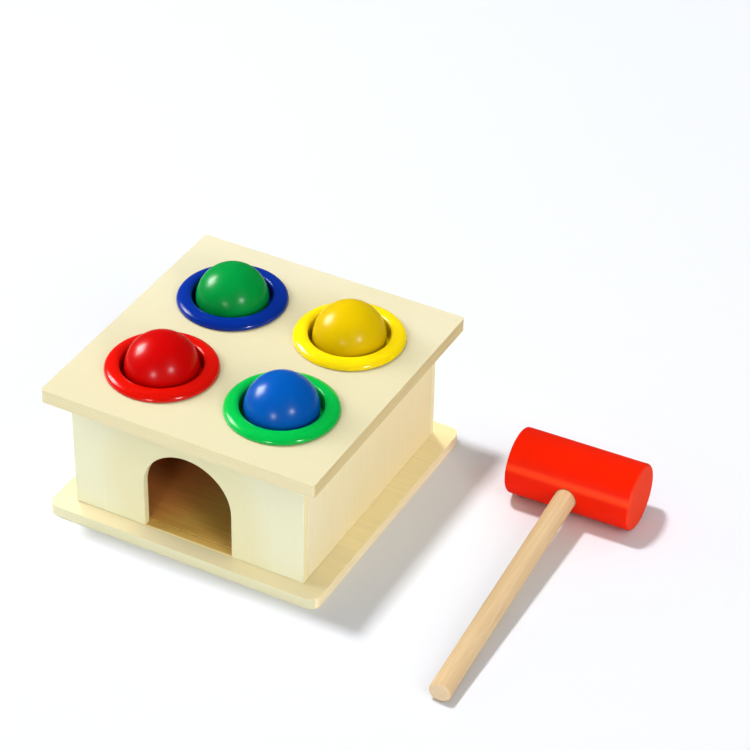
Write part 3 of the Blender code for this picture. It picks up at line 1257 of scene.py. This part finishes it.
@dataclass(frozen=True)
class Lamp:
    """One soft light, by the direction that it comes from."""

    name: str
    towards: Triple
    width: float
    power: float
    sight: Sight = Sight.SHADING
    tint: str = "#FFFFFF"
    distance: float = 2.6

    def add(self, target: Vector) -> None:
        """Sets the lamp in its place.

        Args:
            target: The point that it is aimed at.
        """
        data = bpy.data.lights.new(self.name, "AREA")
        data.shape = "SQUARE"
        data.size = self.width
        data.energy = self.power
        data.color = linear(self.tint)[:3]
        item = bpy.data.objects.new(self.name, data)
        away = Vector(self.towards).normalized()
        item.location = target + away * self.distance
        item.rotation_euler = away.to_track_quat("Z", "Y").to_euler()
        item.visible_glossy = self.sight is Sight.HIGHLIGHT
        item.visible_diffuse = self.sight is Sight.SHADING
        bpy.context.scene.collection.objects.link(item)


@dataclass
class Studio:
    """Pale floor, soft lights and the camera at the photograph's angle."""

    floor_size: float = 8.0
    floor_tint: str = "#E4E7EE"
    floor_roughness: float = 0.9
    floor_gloss: float = 0.1
    sky_light: float = 0.44
    sky_in_gloss: float = 0.08
    eye: Triple = (0.45817, -0.77293, 0.72167)
    turn: float = math.radians(27.642)
    tip: float = math.radians(36.707)
    roll: float = math.radians(1.107)
    lens: float = 134.307
    sensor: float = 36.0
    clipping: Pair = (0.01, 50.0)
    target: Triple = (0.04, 0.0, 0.04)

    def lamps(self) -> tuple[Lamp, ...]:
        """Lists the lamps.

        The window stands on the left, and its spill reaches what stands in its shade. Two lamps
        in front and one behind shape the edges, and a fill lifts the right side. Floor and balls
        have one lamp each to themselves. The last three only make highlights.

        Returns:
            The lamps.
        """
        window, front, right = (-0.86, -0.05, 0.505), (0.08, -0.98, 0.17), (0.81, -0.45, 0.375)
        return (
            Lamp("window_left", window, 1.3, 50.0),
            Lamp("window_spill", window, 1.3, 30.0),
            Lamp("back_light", (-0.42, 0.33, 0.845), 0.45, 38.0),
            Lamp("lamp_front", front, 0.6, 17.0),
            Lamp("lamp_right", right, 0.5, 16.0),
            Lamp("fill_right", (0.72, -0.33, 0.61), 1.5, 19.0, tint="#FFF8EC"),
            Lamp("ball_glow", (0.45, -0.86, 0.2), 1.5, 9.0),
            Lamp("floor_key", (-0.33, 0.04, 0.943), 0.28, 48.0),
            Lamp("window_highlight", window, 1.0, 300.0, Sight.HIGHLIGHT),
            Lamp("front_highlight", front, 0.38, 66.0, Sight.HIGHLIGHT),
            Lamp("right_highlight", right, 0.38, 80.0, Sight.HIGHLIGHT),
        )

    def add_floor(self) -> Item:
        """Lays the floor, a hair below the object.

        Returns:
            The floor.
        """
        bm = bmesh.new()
        bmesh.ops.create_grid(bm, x_segments=4, y_segments=4, size=self.floor_size / 2)
        bmesh.ops.translate(bm, verts=bm.verts, vec=(0, 0, -SEAM))
        paper = Shading("white_paper_floor")
        inputs = paper.shader.inputs
        inputs["Base Color"].default_value = linear(self.floor_tint)
        inputs["Roughness"].default_value = self.floor_roughness
        inputs["Specular IOR Level"].default_value = self.floor_gloss
        floor = add_object("floor", bm)
        floor.data.materials.append(paper.material)
        floor.visible_glossy = False
        return floor

    def add_sky(self) -> None:
        """Surrounds the scene with even white light, which stays dim in reflections."""
        world = bpy.data.worlds.new("studio_white")
        world.use_nodes = True
        tree = world.node_tree
        path = add_node(tree, "ShaderNodeLightPath", {}).outputs
        strength = self.sky_light
        for ray, seen in (("Is Glossy Ray", self.sky_in_gloss), ("Is Camera Ray", 1.0)):
            values = {"Value": path[ray], "To Min": strength, "To Max": seen}
            strength = add_node(tree, "ShaderNodeMapRange", values).outputs[0]
        background = tree.nodes["Background"].inputs
        tree.links.new(strength, background["Strength"])
        background["Color"].default_value = linear("#FFFFFF")
        bpy.context.scene.world = world

    def choose_lit(self, lamp_name: str, link_state: str, items: Sequence[Item]) -> None:
        """Keeps one lamp's light off some objects, as a flag on a stand does, or off all others.

        Args:
            lamp_name: Name of the lamp.
            link_state: "EXCLUDE" to keep the light off them, "INCLUDE" to light them alone.
            items: The objects.
        """
        chosen = bpy.data.collections.new(lamp_name + "_chosen")
        for item in items:
            chosen.objects.link(item)
        for entry in chosen.collection_objects:
            entry.light_linking.link_state = link_state
        bpy.data.objects[lamp_name].light_linking.receiver_collection = chosen

    def add_camera(self) -> None:
        """Sets the camera where the photograph was taken from."""
        data = bpy.data.cameras.new("camera")
        data.sensor_width = self.sensor
        data.lens = self.lens
        data.clip_start, data.clip_end = self.clipping
        camera = bpy.data.objects.new("camera", data)
        turned = (
            Matrix.Rotation(self.turn, 4, "Z")
            @ Matrix.Rotation(math.pi / 2 - self.tip, 4, "X")
            @ Matrix.Rotation(self.roll, 4, "Z")
        )
        camera.matrix_world = Matrix.Translation(self.eye) @ turned
        bpy.context.scene.collection.objects.link(camera)
        bpy.context.scene.camera = camera

    def build(self) -> Item:
        """Sets up floor, light and camera, and shows colours as they are.

        Returns:
            The floor.
        """
        floor = self.add_floor()
        self.add_sky()
        for lamp in self.lamps():
            lamp.add(Vector(self.target))
        self.add_camera()
        bpy.context.scene.view_settings.view_transform = "Standard"
        LOG.info("studio is ready")
        return floor


@dataclass(frozen=True)
class Station:
    """One hole of the top board, with the colours of its ring and its ball."""

    side: int
    row: int
    ring: str
    ring_shades: tuple[str, str]
    ball: str
    ball_shades: tuple[str, str]
    ball_gloss: float = GlossPaint.gloss

    def build(self, pitch: float) -> Item:
        """Sets the ring and the ball at the hole.

        Args:
            pitch: Space between hole centres, across and along the board.

        Returns:
            The ball's piece.
        """
        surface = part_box("top_board")[1].z
        centre = Vector((self.side * pitch / 2, self.row * pitch / 2, surface))
        vinyl = SoftVinyl(f"{self.ring}_soft_vinyl", *self.ring_shades)
        SoftRing(f"ring_{self.ring}", vinyl, f"{self.ring}_vinyl", centre).build()
        paint = GlossPaint(f"{self.ball}_gloss_enamel", *self.ball_shades, self.ball_gloss)
        body, slot = f"{self.ball}_ball", f"{self.ball}_paint"
        return PaintedBall(f"ball_{self.ball}", paint, body, slot).build()


STATIONS = (
    Station(-1, -1, "red", ("#C80C01", "#BE0901"), "red", ("#B70302", "#AA0202")),
    Station(1, -1, "green", ("#01AD44", "#01A43E"), "blue", ("#014FA2", "#014798")),
    Station(-1, 1, "blue", ("#022A8B", "#022580"), "green", ("#018739", "#017C32")),
    Station(1, 1, "yellow", ("#E9CE08", "#E2C705"), "yellow", ("#C9AB01", "#BF9F01"), 0.045),
)

# Share of the board's thickness that each ply takes.
THICK_PLIES = (0.17, 0.20, 0.26, 0.20, 0.17)
EVEN_PLIES = (0.2, 0.2, 0.2, 0.2, 0.2)
THIN_PLIES = (0.27, 0.46, 0.27)
ONE_PLY = (1.0,)

TOP = SandedPlywood(
    "top_plywood", Veneer("#C3BC98", "#C9C4A8", "#C3B898", "#D4CCA2", "#A88650"),
    Axis.X, Axis.Z, THICK_PLIES, glue_share=0.2, streak_share=0.35,
    tinge_centre=(30.0 * MM, -70.0 * MM, 70.0 * MM), tinge_pull=0.01 / MM, tinge_stops=(1.4, 2.2),
)
TOP_FRONT, TOP_SIDE = [
    SandedPlywood("top_edges", veneer, Axis.X, Axis.Z, THICK_PLIES, streak_share=0.4)
    for veneer in (
        Veneer("#D8CFA7", "#D8CFA5", "#CDBF96", "#DCD5AC", "#A48457"),
        Veneer("#D4C591", "#D3C48E", "#BFA676", "#DBCD98", "#9A7B4C"),
    )
]
# The base turns paler from its left end towards its right: painted light, which evens out the
# window's light on the left and the box's shade on the right.
BASE = SandedPlywood(
    "base_plywood", Veneer("#D3CAA2", "#F0E1AA", "#DDC99C", "#E5D5B0", "#D5C196"),
    Axis.X, Axis.Z, EVEN_PLIES, glue_share=0.05,
    tinge_centre=(-170.0 * MM, -100.0 * MM, 0.0), tinge_pull=0.02 / MM, tinge_stops=(4.9, 5.4),
)
# Its side edges take a paler copy than its front edges: painted light on the right edge, which
# lies in the box's shade.
BASE_FRONT, BASE_SIDE = [
    SandedPlywood(name, veneer, Axis.X, Axis.Z, EVEN_PLIES, glue_share=0.1)
    for name, veneer in (
        ("base_front_edges", Veneer("#D3D2B0", "#D2D0AD", "#D1C79F", "#D5D4B2", "#CDBF93")),
        ("base_side_edges", Veneer("#F8EBC2", "#F6E8BE", "#E5D4A5", "#FCEFC8", "#D8C190")),
    )
]
# The side walls take a paler copy of the plywood than the front and rear walls: painted light, for
# faces that get less light.
FRONT = SandedPlywood(
    "front_plywood", Veneer("#D6D1A8", "#D9D9BB", "#D3CFA7", "#F6ECC7", "#C3B289"),
    Axis.Z, Axis.Y, THIN_PLIES, glue_share=0.05, streak_share=0.3,
    tinge_centre=(0.0, -60.0 * MM, 30.0 * MM), tinge_pull=0.02 / MM, tinge_stops=(1.05, 1.4),
)
SIDE = SandedPlywood(
    "side_plywood", Veneer("#EBE4C0", "#EBDEAB", "#E1CFA1", "#E4D3A7", "#BDA57B"),
    Axis.Z, Axis.X, THIN_PLIES, streak_share=0.3,
    tinge_centre=(60.0 * MM, -60.0 * MM, 35.0 * MM), tinge_pull=0.01 / MM, tinge_stops=(0.7, 1.6),
)
CREAM = Veneer("#EBE6B1", "#EAE3AD", "#E0D2A0", "#F4ECC4", "#D8C898")
# The linings of the walls' inner faces are dark brown: painted shade inside the box, tinted red on
# the left wall.
SHADE_BROWN = Veneer("#876129", "#8E6A31", "#704C21", "#84562A", "#5C3C20")
RED_SHADE = Veneer("#C4420A", "#B43A08", "#982E06", "#8C4A20", "#5C3C20")
FRONT_EDGES, SIDE_EDGES = [
    SandedPlywood(
        "sanded_edges", CREAM, Axis.Z, stack, THIN_PLIES, glue_share=0.05, streak_share=0.3,
    )
    for stack in (Axis.Y, Axis.X)
]
FRONT_LINING, SIDE_LINING = [
    SandedPlywood("painted_shade_lining", SHADE_BROWN, Axis.Z, stack, THIN_PLIES)
    for stack in (Axis.Y, Axis.X)
]
LEFT_LINING = SandedPlywood("painted_red_shade_lining", RED_SHADE, Axis.Z, Axis.X, THIN_PLIES)
# The ramp is ruddy near the box's left and golden further right: painted red-tinted shade there,
# and a painted pool of light from the doorway.
RAMP, RAMP_LOOK, RAMP_TOE = [
    SandedPlywood(
        name, Veneer(near, far, streak, "#C89850", "#946C3C"), Axis.X, Axis.Z, ONE_PLY,
        glue_share=0.0, tinge_centre=(-50.0 * MM, 0.0, 0.0), tinge_pull=0.02 / MM,
        tinge_stops=(1.3, 1.75),
    )
    for name, near, far, streak in (
        ("ramp_plywood", "#D57C36", "#D2A64A", "#A06C24"),
        # Coloured like the ramp, painted shade and light included, so that the ramp seems to reach
        # the wall's face.
        ("ramp_look_strip", "#DAAF56", "#DAB356", "#B58E42"),
        # A darker copy for the toe's face towards the doorway: painted shade.
        ("ramp_toe", "#A67C30", "#B19335", "#7C591F"),
    )
]
PALE_LINE = SandedPlywood(
    "pale_line", Veneer("#F1E0A1", "#F1DB96", "#E3CC83", "#F2DE9C", "#D2C294"),
    Axis.X, Axis.Z, ONE_PLY, glue_share=0.0,
)


@dataclass(frozen=True)
class Box:
    """The plywood box, with its ramp, its rings and its balls."""

    pitch: float = 54.5 * MM
    hole_radius: float = 18.9 * MM
    doorway_width: float = 40.0 * MM
    doorway_height: float = 40.5 * MM
    pale_start: float = 0.1 * MM
    pale_end: float = 0.95 * MM
    ramp_look_reach: float = 0.3 * MM

    def threshold(self) -> Threshold:
        """Lays out the strip, from the front wall's face to a little under the ramp's toe.

        Returns:
            The strip.
        """
        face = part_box("front_wall")[0].y
        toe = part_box("ramp_board")[0].y
        rows = (face + self.pale_start, face + self.pale_end, toe + self.ramp_look_reach)
        return Threshold(PALE_LINE, RAMP_LOOK, self.doorway_width, rows)

    def build_boards(self) -> Item:
        """Builds the six boards and the ramp.

        Returns:
            The left wall's piece, which stands nearest to the window.
        """
        RoundedBoard(
            "base_board", BASE, BASE_FRONT, BASE_SIDE, corner=4.5 * MM, top_round=2.7 * MM,
            bottom_round=0.5 * MM, band=4.6 * MM, threshold=self.threshold(),
        ).build()
        PlywoodWall(
            "front_wall", FRONT, FRONT_LINING, FRONT_EDGES, doorway_width=self.doorway_width,
            doorway_height=self.doorway_height,
        ).build()
        PlywoodWall("rear_wall", FRONT, FRONT_LINING, FRONT_EDGES).build()
        left_wall, _ = [
            PlywoodWall(node, SIDE, lining, SIDE_EDGES, butt=GLUE_REACH).build()
            for node, lining in (("left_wall", LEFT_LINING), ("right_wall", SIDE_LINING))
        ]
        SlopingFloor("ramp_board", RAMP, RAMP_TOE).build()
        holes = tuple(
            (side * self.pitch / 2, row * self.pitch / 2) for side in (-1, 1) for row in (-1, 1)
        )
        RoundedBoard(
            "top_board", TOP, TOP_FRONT, TOP_SIDE, corner=1.4 * MM, top_round=0.8 * MM,
            bottom_round=0.5 * MM, band=2.4 * MM, hole_radius=self.hole_radius, hole_centres=holes,
        ).build()
        return left_wall

    def build_stations(self) -> list[Item]:
        """Sets a ring and a ball at each hole, and returns the balls' pieces."""
        return [station.build(self.pitch) for station in STATIONS]


def main() -> None:
    """Builds the studio and every piece in order, and sets which lamp lights what."""
    logging.basicConfig(level=logging.INFO, format="%(name)s: %(message)s")
    studio = Studio()
    floor = studio.build()
    box = Box()
    left_wall = box.build_boards()
    balls = box.build_stations()
    mallet = Mallet().build()
    studio.choose_lit("window_left", "EXCLUDE", [floor, *mallet])
    studio.choose_lit("window_spill", "EXCLUDE", [floor, left_wall])
    for lamp_name in ("back_light", "lamp_front", "lamp_right"):
        studio.choose_lit(lamp_name, "EXCLUDE", [floor])
    studio.choose_lit("floor_key", "INCLUDE", [floor])
    studio.choose_lit("ball_glow", "INCLUDE", balls)


if __name__ == "__main__":
    main()
